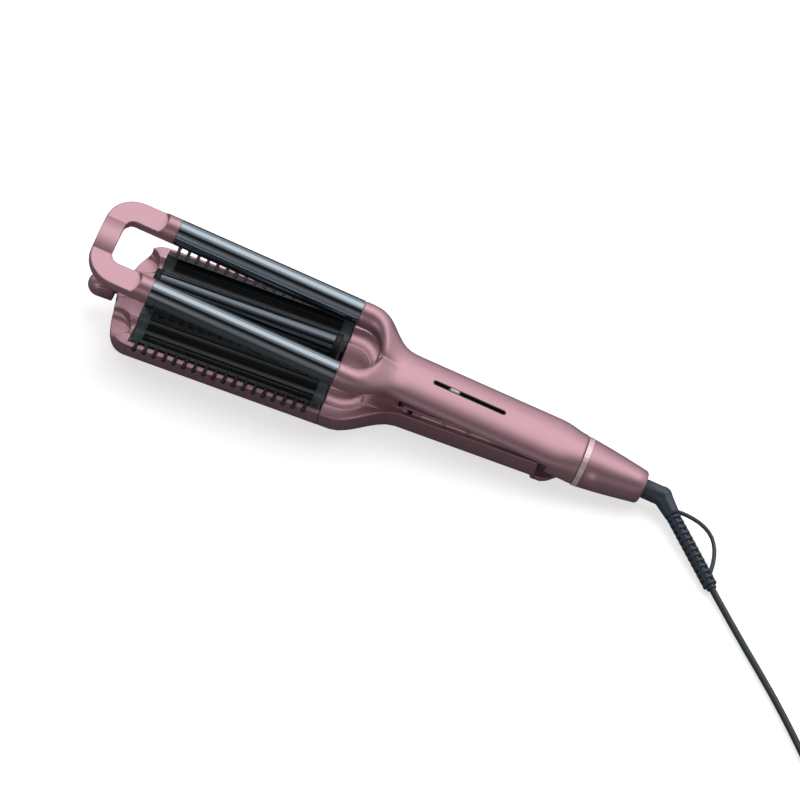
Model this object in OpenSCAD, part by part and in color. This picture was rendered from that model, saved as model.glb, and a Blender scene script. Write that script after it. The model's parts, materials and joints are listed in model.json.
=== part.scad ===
/* [Barrels] */
// Outside diameter of the two clamping barrels
barrel_d = 16; // [14:0.5:17]
// Length of the bare metal on each clamping barrel
barrel_len = 119; // [105:1:130]
// Wall of each barrel tube
barrel_wall = 1.2; // [1:0.1:2]
// Distance between the axes of the two clamping barrels
barrel_pitch = 48; // [46:0.5:50]
// Outside diameter of the middle barrel
middle_d = 15; // [13:0.5:16]
// Height of the middle barrel's axis above the jaw's edge, at its highest setting
middle_rise = 17; // [16.6:0.1:18]
// Travel of the middle barrel, from its highest to its lowest setting
middle_travel = 6; // [4:0.5:7]

/* [Jaws] */
// Angle between the jaws when they stand open
open_angle = 7; // [6:0.25:8]
// Width of the lower jaw over its walls
jaw_w = 78; // [76:1:82]
// Height of the lower jaw's edge above the table
jaw_edge_z = 23.5; // [22.5:0.25:24.5]
// Height of a closed barrel's axis above the lower jaw's edge
seat_rise = 6; // [5.5:0.25:6.5]
// Gap for hair between a closed barrel and its trough
hair_gap = 1.2; // [0.8:0.1:1.5]
// Length of the lower jaw's tip, ahead of the barrels
jaw_tip_len = 17; // [15:0.5:19]
// Distance between neighbouring comb teeth
tooth_pitch = 6.3; // [5.6:0.1:7.5]
// Length of a comb tooth
tooth_len = 9.6; // [8:0.2:11]

/* [Handle] */
// Distance from the hinge to the root of the barrels
reach = 148.5; // [144:0.5:152]
// Width of the handle
handle_w = 36; // [35:0.5:38]
// Height of the upper handle shell
handle_h = 8.3; // [8:0.1:9]
// Wall of the upper handle shell
handle_wall = 1.8; // [1.6:0.1:2.2]
// Distance from the hinge to the end of the tail
tail_len = 48.6; // [46:0.2:52]
// Diameter of the hinge pin
hinge_pin_d = 4; // [3.5:0.1:4.5]
// Width of the lower lever
lever_w = 33.6; // [32:0.2:34]

/* [Controls] */
// Length of the slot that the slider runs in
slot_len = 46; // [42:0.5:50]
// Width of that slot
slot_w = 2.2; // [2:0.1:3]
// Diameter of the turning knob at the tip
dial_d = 15; // [13:0.5:16]
// Length of that knob
dial_len = 17; // [15:0.5:19]

/* [Cord] */
// Diameter of the mains cord
cord_d = 4; // [3.8:0.1:4.2]
// Diameter of the swivelling elbow where it leaves the tail
elbow_d = 12; // [11:0.5:13]

/* [Hidden] */

pink = [0.66, 0.47, 0.51];
dark_pink = [0.5, 0.35, 0.38];
light_ring = [0.85, 0.72, 0.72];
steel_blue = [0.33, 0.38, 0.43];
black = [0.08, 0.09, 0.1];
slate = [0.2, 0.25, 0.28];
metal = [0.7, 0.7, 0.72];

running_gap = 0.3;
seat_gap = 0.05;
round_fn = 48;
ring_steps = 20;

// ---- where the main pieces stand -------------------------------------------------
barrel_r = barrel_d / 2;
barrel_y = barrel_pitch / 2;
hinge_z = 14;
barrel_rise = jaw_edge_z + seat_rise - hinge_z;
root_collar_len = 7.5;
tip_collar_len = 7.5;
barrel_root_x = -reach;
barrel_tip_x = barrel_root_x - barrel_len;
bridge_root_x = barrel_tip_x - tip_collar_len;
bridge_len = 35;
fork_x = barrel_root_x + root_collar_len;
jaw_front_x = barrel_tip_x - 2;
jaw_back_x = barrel_root_x + 0.7;
tip_end_x = jaw_front_x - jaw_tip_len;
dial_gap = 4;
dial_end_x = tip_end_x - dial_gap - dial_len;
tail_r = 10.2;
tail_chamfer = 1;
tail_z = 2.4;
hinge_x = (-dial_end_x - tail_len * cos(open_angle)
           - (tail_z + tail_r - tail_chamfer) * sin(open_angle)) / 2;

// The lower jaw lies flat; its pieces are placed from the hinge, along the table.
module lower() translate([hinge_x, 0, 0]) children();
// The upper jaw, the tail and the cord's elbow are tilted about the hinge.
module upper() translate([hinge_x, 0, hinge_z]) rotate([0, open_angle, 0]) children();

// ---- shapes that repeat ----------------------------------------------------------
module rod(x0, x1, r, fn = round_fn) {
    translate([x0, 0, 0]) rotate([0, 90, 0]) cylinder(h = x1 - x0, r = r, $fn = fn);
}
module cross_pin(r, w, fn = 32) {
    translate([0, w / 2, 0]) rotate([90, 0, 0]) cylinder(h = w, r = r, $fn = fn);
}
module block(x0, x1, y0, y1, z0, z1) {
    translate([x0, y0, z0]) cube([x1 - x0, y1 - y0, z1 - z0]);
}
function smooth(t) = let (c = max(0, min(1, t))) c * c * (3 - 2 * c);
function blend(a, b, t) = a + (b - a) * smooth(t);
function power(v, n) = sign(v) * pow(abs(v), 2 / n);
// Walls of a loft: rings of equally many points, closed at both ends.
module loft(rings) {
    n = len(rings[0]);
    last = len(rings) - 1;
    points = [for (ring = rings) each ring];
    sides = [for (i = [0:last - 1], j = [0:n - 1])
             each [[i * n + j, (i + 1) * n + j, i * n + (j + 1) % n],
                   [i * n + (j + 1) % n, (i + 1) * n + j, (i + 1) * n + (j + 1) % n]]];
    polyhedron(points, concat([[for (j = [0:n - 1]) j]], sides,
                              [[for (j = [n - 1:-1:0]) last * n + j]]));
}
// A closed rounded section across X, with its centre, half sizes and squareness.
function oval(x, yc, zc, hy, hz, n = 2) =
    [for (j = [0:ring_steps * 2 - 1]) let (a = j * 180 / ring_steps)
     [x, yc + hy * power(cos(a), n), zc + hz * power(sin(a), n)]];
// A domed section with a flat underside at z0.
function dome(x, hy, z0, h, n = 2.2) =
    [for (j = [0:ring_steps]) let (a = j * 180 / ring_steps)
     [x, hy * power(cos(a), n), z0 + h * power(sin(a), n)]];
// A tub section: upright sides, a flat top and a flat bottom with round corners.
corner_steps = 6;
function tub(x, hy, z0, z1, r, lean = 0) =
    concat([[x, hy, z1], [x, -hy, z1]],
           [for (j = [0:corner_steps]) let (a = j * 90 / corner_steps)
            [x, -(hy - lean - r + r * cos(a)), z0 + r - r * sin(a)]],
           [for (j = [corner_steps:-1:0]) let (a = j * 90 / corner_steps)
            [x, hy - lean - r + r * cos(a), z0 + r - r * sin(a)]]);

// ---- upper jaw and handle --------------------------------------------------------
handle_top = barrel_rise - 0.5;
seam_z = handle_top - handle_h;
housing_x = -12;
ring_x = housing_x + 19.5;
ring_w = 3.4;
nose_x = fork_x + 12;
nose_hw = handle_w / 2 - 5;
grip_x = fork_x + 37;
inner_hw = handle_w / 2 - handle_wall;
roof_z = handle_top - 2.4;
roof_squareness = 2.8;

// Half of the fork, on the +Y side: a round arm that widens into the handle.
arm_steps = 10;
function arm_ring(t, gap = 0) =
    let (x = fork_x + t * (grip_x - fork_x),
         outer = blend(barrel_y + barrel_r, handle_w / 2, t),
         inner = t < 0.33 ? (barrel_y - barrel_r) * sqrt(1 - pow(t / 0.34, 2)) : 0,
         top = blend(barrel_rise + barrel_r, handle_top, t),
         low = blend(barrel_rise - barrel_r, seam_z, t),
         pad = t < 0.33 ? 0 : 2)
    oval(x, (outer + inner - pad) / 2, (top + low) / 2, (outer - inner + pad) / 2 + gap,
         (top - low) / 2 + gap, 2 + 0.5 * t);
module fork_arm(gap = 0) loft([for (i = [0:arm_steps]) arm_ring(i / arm_steps, gap)]);

slot_z = handle_top - 1.1;
slot_front_x = -92;
board_z = roof_z - 3.4;
board_t = 1.6;
module handle_shell() color(pink) upper() difference() {
    union() {
        fork_arm();
        mirror([0, 1, 0]) fork_arm();
        loft([for (x = [nose_x, nose_x + 6, nose_x + 12, grip_x, housing_x + 1])
              let (t = (x - nose_x) / (grip_x - nose_x))
              dome(x, blend(nose_hw, handle_w / 2, t * 2), seam_z,
                   blend(handle_h * 1.12, handle_h, t))]);
    }
    // hollow underside
    loft([for (x = [grip_x, housing_x + 2])
          dome(x, inner_hw, seam_z - 1, roof_z - seam_z + 1, roof_squareness)]);
    // flat underside where the arms meet
    block(fork_x + 6, grip_x + 1, -inner_hw + 3, inner_hw - 3, seam_z - 6, seam_z);
    // slot for the slider, with its bezel's rebate
    block(slot_front_x, slot_front_x + slot_len, -slot_w / 2, slot_w / 2, roof_z - 1,
          handle_top + 1);
    block(slot_front_x - 1, slot_front_x + slot_len + 1, -slot_w / 2 - 1, slot_w / 2 + 1,
          slot_z, handle_top + 1);
}

// The full-depth end of the handle, which holds the hinge pin.
lug_w = 12;
lug_r = 5.5;
pin_len = 26;
housing_front_x = housing_x + 1 + seat_gap;
module tail_housing() color(pink) upper() difference() {
    loft([for (i = [0:4])
          let (t = i / 4, low = seam_z - 13 - 4 * t)
          oval(housing_front_x + t * (ring_x - housing_front_x), 0, (handle_top + low) / 2,
               blend(handle_w / 2, 16.5, t), (handle_top - low) / 2, 2.2)]);
    // pocket for the lower lever's lug, open below and towards the lever
    block(-lug_r - 12, lug_r + 1.5, -lug_w / 2 - running_gap, lug_w / 2 + running_gap, -20,
          lug_r + 1);
    cross_pin(hinge_pin_d / 2, pin_len);
}
ring_z = barrel_rise - 13.6;
module tail_ring() color(light_ring) upper()
    loft([for (x = [ring_x + seat_gap, ring_x + ring_w - seat_gap])
          oval(x, 0, ring_z, 16.4, 13.3, 2.1)]);

cone_x = ring_x + ring_w;
module tail_cone() color(pink) upper() difference() {
    loft([for (t = [0, 0.3, 0.6, 0.85, 0.97, 1])
          let (x = cone_x + t * (tail_len - cone_x), end = t == 1 ? tail_chamfer : 0)
          oval(x, 0, ring_z + (tail_z - ring_z) * t, 16.2 + (tail_r - 16.2) * pow(t, 1.25) - end,
               13.1 + (tail_r - 13.1) * t - end, 2.1 - 0.1 * t)]);
    translate([0, 0, tail_z]) {
        rod(tail_len - swivel_depth, tail_len + 1, elbow_d / 2 + swivel_gap);
        rod(tail_len - swivel_depth, tail_len - swivel_depth + flange_t + 2 * running_gap,
            elbow_d / 2 + flange_out + running_gap);
    }
}

module at_barrel(side) translate([0, side * barrel_y, barrel_rise]) children();
module clamp_barrel(side) color(steel_blue) upper() at_barrel(side) difference() {
    rod(barrel_tip_x + seat_gap, barrel_root_x - seat_gap, barrel_r);
    rod(barrel_tip_x - 1, barrel_root_x + 1, barrel_r - barrel_wall);
}
heater_gap = 0.3;
module clamp_heater(side) color(metal) upper() at_barrel(side) difference() {
    rod(barrel_tip_x + 6, barrel_root_x - 3, barrel_r - barrel_wall - heater_gap, 32);
    block(barrel_tip_x + 5, barrel_root_x, -1, 1, -barrel_r, barrel_r);
    block(barrel_tip_x + 5, barrel_root_x - 12, -barrel_r, barrel_r, -1, 1);
}
// Collars between the fork and the barrels; a spigot fills the barrel's end.
spigot_len = 5;
module root_collar(side) color(pink) upper() at_barrel(side) {
    rod(barrel_root_x, fork_x - seat_gap, barrel_r);
    rod(barrel_root_x - 2.6, barrel_root_x + 0.1, barrel_r - barrel_wall - seat_gap);
}

// Outline of the U that joins the two barrels' tips, seen from above.
window_r = 6;
outer_r = 19;
bar_w = 12.5;
module bridge_outline(inset = 0) {
    hw = barrel_y + barrel_r - inset;
    x_end = bridge_root_x - bridge_len + inset;
    difference() {
        union() {
            translate([x_end + outer_r, -hw])
                square([bridge_root_x - x_end - outer_r, 2 * hw]);
            for (s = [-1, 1]) translate([x_end + outer_r, s * (hw - outer_r)])
                circle(r = outer_r, $fn = 64);
            translate([x_end, -(hw - outer_r)]) square([outer_r, 2 * (hw - outer_r)]);
        }
        hull() {
            for (s = [-1, 1])
                translate([bridge_root_x - bridge_len + bar_w + window_r, s * (barrel_y - barrel_r - window_r)])
                    circle(r = window_r + inset, $fn = 40);
            translate([bridge_root_x, -(barrel_y - barrel_r + inset)])
                square([10, 2 * (barrel_y - barrel_r + inset)]);
        }
    }
}
edge_r = 3.4;
pad_top = 2.6;
pad_low = -6.4;
arch_top = 5.4;
arch_low = -1.6;
arch_r = 29;
scoop_r = 8.6;
module bridge_scoop(side) {
    translate([bridge_root_x - 2 - scoop_r, side * (barrel_y + 1), pad_top])
        hull() {
            for (dx = [0, -40]) translate([dx, 0, 0]) {
                translate([0, 0, scoop_r * 0.62]) cylinder(h = 8, r = scoop_r, $fn = 32);
                cylinder(h = 1, r = scoop_r * 0.72, $fn = 32);
                translate([0, 0, scoop_r * 0.22]) cylinder(h = 1, r = scoop_r * 0.92, $fn = 32);
            }
        }
}
module tip_bridge() color(pink) upper() translate([0, 0, barrel_rise]) {
    difference() {
        union() {
            for (s = [-1, 1]) translate([0, s * barrel_y, 0])
                rod(bridge_root_x - 14, barrel_tip_x, barrel_r);
            // rounded arms
            intersection() {
                translate([0, 0, pad_low + edge_r]) minkowski() {
                    linear_extrude(height = pad_top - pad_low - 2 * edge_r)
                        bridge_outline(edge_r);
                    sphere(r = edge_r, $fn = 20);
                }
                union() for (s = [-1, 1])
                    block(bridge_root_x - bridge_len - 1, bridge_root_x,
                          s > 0 ? barrel_y - barrel_r - 6 : -barrel_y - barrel_r - 1,
                          s > 0 ? barrel_y + barrel_r + 1 : -barrel_y + barrel_r + 6,
                          pad_low - 1, pad_top + 1);
            }
            // arched bar, which clears the knob when the jaws close
            intersection() {
                translate([0, 0, pad_low]) linear_extrude(height = arch_top - pad_low)
                    bridge_outline(1.2);
                difference() {
                    translate([0, 0, arch_top - arch_r])
                        rod(bridge_root_x - bridge_len - 1, bridge_root_x - bridge_len + bar_w + 8,
                            arch_r, 96);
                    translate([0, 0, arch_low - arch_r + 7])
                        rod(bridge_root_x - bridge_len - 2, bridge_root_x, arch_r - 7, 96);
                }
                block(bridge_root_x - bridge_len - 1, bridge_root_x - bridge_len + bar_w + 8,
                      -barrel_y + 1, barrel_y - 1, pad_low, arch_top + 1);
            }
        }
        for (s = [-1, 1]) bridge_scoop(s);
    }
    // spigots in the barrels
    for (s = [-1, 1]) translate([0, s * barrel_y, 0])
        rod(barrel_tip_x - 0.1, barrel_tip_x + spigot_len, barrel_r - barrel_wall - seat_gap);
}

// Slider in its slot
bezel_t = 0.9;
module slot_bezel() color(black) upper() difference() {
    block(slot_front_x - 1 + seat_gap, slot_front_x + slot_len + 1 - seat_gap,
          -slot_w / 2 - 1 + seat_gap, slot_w / 2 + 1 - seat_gap, slot_z + seat_gap,
          slot_z + bezel_t);
    block(slot_front_x, slot_front_x + slot_len, -slot_w / 2, slot_w / 2, slot_z - 1,
          slot_z + bezel_t + 1);
}
button_len = 5.6;
button_x = slot_front_x + 10.6;
module slider_button() color("white") upper() {
    block(button_x, button_x + button_len, -slot_w / 2 + running_gap, slot_w / 2 - running_gap,
          board_z + board_t + running_gap, handle_top + 0.4);
    block(button_x - 1, button_x + button_len + 1, -3, 3, board_z + board_t + running_gap,
          roof_z - running_gap);
}
board_hw = 9;
board_x0 = -98;
board_x1 = -40;
board_leg = 2;
// Height of the hollow's roof at a distance y from the middle
function roof_at(y) = seam_z - 1 + (roof_z - seam_z + 1)
    * pow(1 - pow(y / inner_hw, roof_squareness), 1 / roof_squareness);
module circuit_board() color([0.1, 0.35, 0.2]) upper() {
    block(board_x0, board_x1, -board_hw, board_hw, board_z, board_z + board_t);
    // legs that hold the board under the roof
    for (x = [board_x0 + 1.6, board_x1 - board_leg - 1.6], s = [-1, 1])
        translate([x, s * (board_hw - 2.5) - board_leg / 2, 0])
            block(0, board_leg, 0, board_leg, board_z + board_t - 0.1,
                  roof_at(board_hw - 2.5 + board_leg / 2) - 3 * seat_gap);
}

// Hinge
module hinge_pin() color(metal) upper() cross_pin(hinge_pin_d / 2 - seat_gap, pin_len - 0.2);
spring_r = 3.2;
spring_wire = 0.8;
spring_turns = 4;
// Torsion spring, wound close round the pin, in a counterbore of the lug
spring_seat = spring_turns * spring_wire + running_gap;
module hinge_spring() color(metal) upper() translate([0, -lug_w / 2 + 0.2, 0]) rotate([90, 0, 0])
    rotate_extrude($fn = 32) for (i = [0:spring_turns - 1])
        translate([spring_r, -i * spring_wire * 0.95 - spring_wire / 2])
            circle(r = spring_wire / 2, $fn = 16);

// ---- lower jaw -------------------------------------------------------------------
shell_top_z = jaw_edge_z;
jaw_hw = jaw_w / 2;
wall_y = barrel_y + 11.5;
lever_hw = lever_w / 2;
lever_start_x = grip_x;
lever_end_x = -11;
tongue_x = 2;
rim_z = seam_z + hinge_z - running_gap;
bottom_r = 13;
shell_seam = 0.1;
taper_x = jaw_back_x + 8;
function lower_ring(x) =
    let (t = (x - taper_x) / (lever_start_x - taper_x))
    tub(x, blend(jaw_hw, lever_hw, t), 0, blend(shell_top_z, rim_z, t * 1.2),
        blend(bottom_r, 9, t), blend(2.5, 0.5, t));
// The thin tongue under the tail housing narrows to a rounded end
function tongue_ring(t) =
    tub(lever_end_x + t * (tongue_x - lever_end_x), blend(lever_hw - 2, 7, t), 1.6 * smooth(t),
        blend(4.2, 3.6, t), 1.6);

channel_w = 23;
riser_t = 2;
riser_top_z = hinge_z + roof_z - 2.7;
lever_floor = 3;
liner_z = 12;
screw_r = 2.6;
screw_y = 12;
recess_t = 2;
screw_x = [jaw_front_x + 12, jaw_back_x - 12];
module jaw_shell() color(dark_pink) lower() difference() {
    loft([for (x = [jaw_front_x + seat_gap, jaw_back_x]) lower_ring(x)]);
    // room for the liner
    block(jaw_front_x - 1, jaw_back_x + 1, -wall_y, wall_y, liner_z, shell_top_z + 1);
    // screw recesses in the underside
    for (x = screw_x, s = [-1, 1]) translate([x, s * screw_y, -1])
        cylinder(h = recess_t + 1, r = screw_r + running_gap, $fn = 32);
}

// Seats that the fork's arms and collars lie in when the jaws close
arm_gap = 0.6;
module arm_seat() translate([0, 0, hinge_z]) {
    fork_arm(arm_gap);
    translate([0, barrel_y, barrel_rise]) rod(jaw_back_x - 1, fork_x + 1, barrel_r + arm_gap);
}
module lever_shell() color(dark_pink) lower() difference() {
    union() {
        loft([for (x = concat([jaw_back_x + shell_seam, taper_x],
                              [for (i = [1:7]) taper_x + i * (lever_start_x - taper_x) / 7],
                              [lever_end_x - 4]))
              lower_ring(x)]);
        // inner risers, which stay inside the upper handle
        for (s = [-1, 1])
            block(lever_start_x + 2, lever_end_x - 8, s > 0 ? channel_w / 2 : -channel_w / 2 - riser_t,
                  s > 0 ? channel_w / 2 + riser_t : -channel_w / 2, lever_floor, riser_top_z);
        // tongue and hinge lug
        loft([for (t = [-0.5, 0, 0.3, 0.6, 0.8, 1]) tongue_ring(t)]);
        translate([0, 0, hinge_z]) cross_pin(lug_r, lug_w);
        block(-lug_r + 0.7, lug_r - 1, -lug_w / 2, lug_w / 2, 2, hinge_z);
    }
    arm_seat();
    mirror([0, 1, 0]) arm_seat();
    block(nose_x - arm_gap, lever_start_x + 1, -nose_hw - arm_gap, nose_hw + arm_gap, rim_z,
          shell_top_z + 1);
    block(nose_x + 2, lever_start_x + 1, -handle_w / 2 - arm_gap, handle_w / 2 + arm_gap, rim_z,
          shell_top_z + 1);
    // open lever
    block(lever_start_x - 2, lever_end_x - 7, -channel_w / 2, channel_w / 2, lever_floor,
          riser_top_z + 1);
    translate([0, 0, hinge_z]) cross_pin(hinge_pin_d / 2 + seat_gap, lug_w + 1);
    translate([0, (spring_seat - lug_w) / 2 - 0.1, hinge_z])
        cross_pin(spring_r + spring_wire / 2 + running_gap, spring_seat + 0.2);
}
module shell_screws() color(metal) lower() for (x = screw_x, s = [-1, 1])
    translate([x, s * screw_y, 1]) difference() {
        cylinder(h = 1, r = screw_r, $fn = 32);
        translate([0, 0, -1]) cylinder(h = 1.6, r = 1, $fn = 6);
    }

// Tip of the lower jaw, with the two seats for the upper collars and the knob's housing
dial_z = 18.5;
hub_r = dial_d / 2;
function tip_ring(t) =
    let (x = jaw_front_x - t * jaw_tip_len, k = pow(1 - pow(t, 2.6), 1 / 2.6))
    tub(x, jaw_hw * max(k, 0.32), 7 * (1 - k), shell_top_z - 2.6 * (1 - k),
        bottom_r * max(k, 0.32), 2.5 * k);
shaft_r = 2.5;
module lower_tip() color(pink) lower() difference() {
    union() {
        loft([for (t = [1, 0.97, 0.92, 0.84, 0.72, 0.55, 0.3, 0]) tip_ring(t)]);
        translate([0, 0, dial_z]) rod(tip_end_x - 1, jaw_front_x, hub_r);
    }
    // seats that the collars and arms lie in when the jaws close
    for (s = [-1, 1]) translate([0, s * barrel_y, jaw_edge_z + seat_rise]) {
        rod(tip_end_x - 10, jaw_front_x + 1, barrel_r + 1);
        translate([jaw_front_x - 3.5 - 8, s * 1, -10]) hull() for (dx = [0, -30])
            translate([dx, 0, 0]) {
                cylinder(h = 20, r = 8, $fn = 32);
                translate([0, 0, -3]) cylinder(h = 1, r = 5, $fn = 32);
            }
    }
    translate([0, 0, dial_z]) rod(tip_end_x - 2, jaw_front_x + 1, shaft_r + seat_gap);
}

// Black tray of the lower jaw: two troughs, a middle channel and end collars
trough_r = barrel_r + hair_gap + 1.6;
liner_top_z = jaw_edge_z + 1;
ledge_y = wall_y - 2.8;
channel_hw = 9;
rail_y = barrel_y - 8.5;
liner_gap = 0.1;
module jaw_liner() color(black) lower() difference() {
    block(jaw_front_x + 0.1, jaw_back_x - 0.5, -wall_y + liner_gap, wall_y - liner_gap,
          liner_z + liner_gap, liner_top_z);
    // troughs round the closed barrels
    for (s = [-1, 1]) translate([0, s * barrel_y, jaw_edge_z + seat_rise])
        rod(jaw_front_x - 1, jaw_back_x, trough_r, 64);
    // channel of the middle barrel's carriers
    block(jaw_front_x - 1, jaw_back_x, -channel_hw, channel_hw, liner_z + 3, liner_top_z + 1);
    // notches along the two inner rails
    for (s = [-1, 1], i = [0:tooth_count - 1])
        translate([first_tooth_x + i * tooth_pitch, s * (rail_y - 4), liner_top_z - 1])
            block(-1.3, 1.3, -1.6, 1.6, 0, 2);
}
module trough_plate(side) color([0.04, 0.045, 0.05]) lower()
    translate([0, side * barrel_y, jaw_edge_z + seat_rise]) intersection() {
        difference() {
            rod(jaw_front_x + 7, jaw_back_x - 7, trough_r - 0.1, 64);
            rod(jaw_front_x + 6, jaw_back_x - 6, barrel_r + hair_gap, 64);
        }
        block(jaw_front_x, jaw_back_x, -7.3, 7.3, -trough_r, -seat_rise + 0.8);
    }

// Combs: round-ended teeth that lean out over the jaw's walls
first_tooth_x = jaw_front_x + 5.6;
tooth_count = floor((jaw_back_x - jaw_front_x - 9) / tooth_pitch) + 1;
tooth_root_r = 0.9;
tooth_tip_r = 1.35;
tooth_rise = 10;
module comb(side) color(black) lower() {
    block(jaw_front_x + 2, jaw_back_x - 2, side > 0 ? ledge_y : -wall_y + 0.4,
          side > 0 ? wall_y - 0.4 : -ledge_y, liner_top_z + seat_gap, liner_top_z + 1.4);
    for (i = [0:tooth_count - 1])
        translate([first_tooth_x + i * tooth_pitch, side * (ledge_y + 1.2), liner_top_z + 1])
            rotate([-side * (90 - tooth_rise), 0, 0]) {
                cylinder(h = tooth_len - tooth_tip_r, r1 = tooth_root_r, r2 = tooth_tip_r, $fn = 16);
                translate([0, 0, tooth_len - tooth_tip_r]) sphere(r = tooth_tip_r, $fn = 16);
            }
}

// Light inserts in the riser's side
vent_x = -90;
vent_len = 12.5;
vent_pitch = 15.6;
module lever_vents() color(light_ring) lower() for (i = [0:2], s = [-1, 1])
    block(vent_x + i * vent_pitch, vent_x + i * vent_pitch + vent_len,
          s > 0 ? channel_w / 2 + riser_t + seat_gap : -channel_w / 2 - riser_t - 0.6,
          s > 0 ? channel_w / 2 + riser_t + 0.6 : -channel_w / 2 - riser_t - seat_gap,
          rim_z + 0.8, rim_z + 2.6);

// Transport lock, which slides along the riser on the near side
module lock_button() color(black) lower()
    block(vent_x - 9, vent_x - 6, -channel_w / 2 - riser_t - 1.2,
          -channel_w / 2 - riser_t - seat_gap - 0.15, rim_z + running_gap, rim_z + 2.4);

// ---- knob and middle barrel -------------------------------------------------------
rib_count = 24;
dial_x1 = tip_end_x - dial_gap;
module dial_knob() color(pink) lower() translate([0, 0, dial_z]) {
    rotate([0, -90, 0]) translate([0, 0, -dial_x1]) difference() {
        rotate_extrude($fn = round_fn) difference() {
            union() {
                square([dial_d / 2, dial_len - dial_d / 2]);
                translate([0, dial_len - dial_d / 2]) intersection() {
                    circle(r = dial_d / 2, $fn = 64);
                    square([dial_d / 2, dial_d / 2]);
                }
            }
        }
        for (i = [0:rib_count - 1]) rotate(i * 360 / rib_count)
            translate([dial_d / 2 + 0.15, 0, -1]) cylinder(h = 9, r = 0.5, $fn = 16);
    }
}
carrier_t = 4;
middle_x0 = jaw_front_x + 1.5 + carrier_t;
middle_x1 = jaw_back_x - 1.5 - carrier_t;
module dial_shaft() color(metal) lower() translate([0, 0, dial_z])
    rod(dial_x1 + 0.1, jaw_front_x - 0.5, shaft_r, 32);
middle_z = jaw_edge_z + middle_rise;
module at_middle() lower() translate([0, 0, middle_z]) children();
module middle_barrel() color(steel_blue) at_middle() difference() {
    rod(middle_x0 + seat_gap, middle_x1 - seat_gap, middle_d / 2);
    rod(middle_x0 - 1, middle_x1 + 1, middle_d / 2 - barrel_wall);
}
module middle_heater() color(metal) at_middle() difference() {
    rod(middle_x0 + 6, middle_x1 - 6, middle_d / 2 - barrel_wall - heater_gap, 32);
    block(middle_x0, middle_x1, -1, 1, -middle_d, middle_d);
}
module carrier(x0, spigot) color(black) at_middle() {
    rod(x0, x0 + carrier_t, middle_d / 2 + 0.6);
    rod(spigot > 0 ? x0 + carrier_t - 0.1 : x0 - 4, spigot > 0 ? x0 + carrier_t + 4 : x0 + 0.1,
        middle_d / 2 - barrel_wall - seat_gap);
    // post that slides in the liner's channel
    block(x0, x0 + carrier_t, -channel_hw + running_gap, channel_hw - running_gap,
          liner_z + 3 + running_gap + middle_travel - middle_z, 0);
}

// ---- cord, elbow and plug --------------------------------------------------------
swivel_depth = 9;
swivel_gap = 0.1;
flange_t = 3.4;
flange_out = 1.6;
// The elbow's bend, in the tilted handle's own frame
bend_x = tail_len + 13;
bend = [hinge_x + bend_x * cos(open_angle) + tail_z * sin(open_angle), 0,
        hinge_z - bend_x * sin(open_angle) + tail_z * cos(open_angle)];
sleeve_len = 66;
sleeve_turn = -46;
sleeve_drop = 4.6;
function sleeve_dir() = [cos(sleeve_turn) * cos(sleeve_drop), sin(sleeve_turn) * cos(sleeve_drop),
                         -sin(sleeve_drop)];
module along_sleeve() translate(bend) rotate([0, 90 + sleeve_drop, sleeve_turn]) children();
module swivel_elbow() color(slate) {
    upper() translate([0, 0, tail_z]) {
        rod(tail_len - swivel_depth + running_gap, bend_x, elbow_d / 2);
        rod(tail_len - swivel_depth + running_gap, tail_len - swivel_depth + running_gap + flange_t,
            elbow_d / 2 + flange_out);
    }
    translate(bend) sphere(r = elbow_d / 2 + 0.2, $fn = 32);
    along_sleeve() cylinder(h = nose_len, r1 = elbow_d / 2, r2 = 4.6, $fn = round_fn);
}
nose_len = 14;
rib_pitch = 3.9;
sleeve_ribs = 13;
core_r = 3.3;
module cord_sleeve() color(slate) along_sleeve() {
    translate([0, 0, nose_len]) cylinder(h = sleeve_len - nose_len, r = core_r, $fn = 32);
    for (i = [0:sleeve_ribs - 1]) translate([0, 0, nose_len + 1 + i * rib_pitch])
        cylinder(h = 1.9, r = 4.4, $fn = 32);
}
// Hanging loop: a thin strap that leaves the elbow and comes back to the sleeve
loop_r = 1.3;
loop_points = [[0, 0, 10], [-1, 4, 13], [-2, 9, 19], [-2, 13.5, 26], [-2, 15.5, 34], [-1.5, 14, 42],
               [-1, 9.5, 50], [-0.5, 3, 57]];
function mid(a, b) = (a + b) / 2;
function unit(v) = v / norm(v);
function curve_pass(p) = concat([p[0]], [for (i = [0:len(p) - 2]) each [p[i] * 0.75 + p[i + 1] * 0.25,
                                 p[i] * 0.25 + p[i + 1] * 0.75]], [p[len(p) - 1]]);
// A round tube along points; its end faces are square to its end stretches.
function tangent(p, i) = unit(i == 0 ? p[1] - p[0] : i == len(p) - 1 ? p[i] - p[i - 1]
                                                   : unit(p[i + 1] - p[i]) + unit(p[i] - p[i - 1]));
function tube_ring(p, t, r, n) =
    let (side = unit(cross(t, [0, 0, 1])), up = cross(side, t))
    [for (j = [0:n - 1]) p + r * (cos(j * 360 / n + 180 / n) * side + sin(j * 360 / n + 180 / n) * up)];
module tube(p, r, n = 8, tangents = undef)
    loft([for (i = [0:len(p) - 1])
          tube_ring(p[i], is_undef(tangents) ? tangent(p, i) : tangents[i], r, n)]);
module hanging_loop() color(slate) along_sleeve()
    loft([let (p = curve_pass(loop_points)) for (i = [0:len(p) - 1])
          let (t = tangent(p, i), side = unit(cross(t, [1, 0, 0])), up = cross(side, t))
          [for (j = [0:7]) p[i] + loop_r * (cos(j * 45) * side + sin(j * 45) * up)]]);

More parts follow.
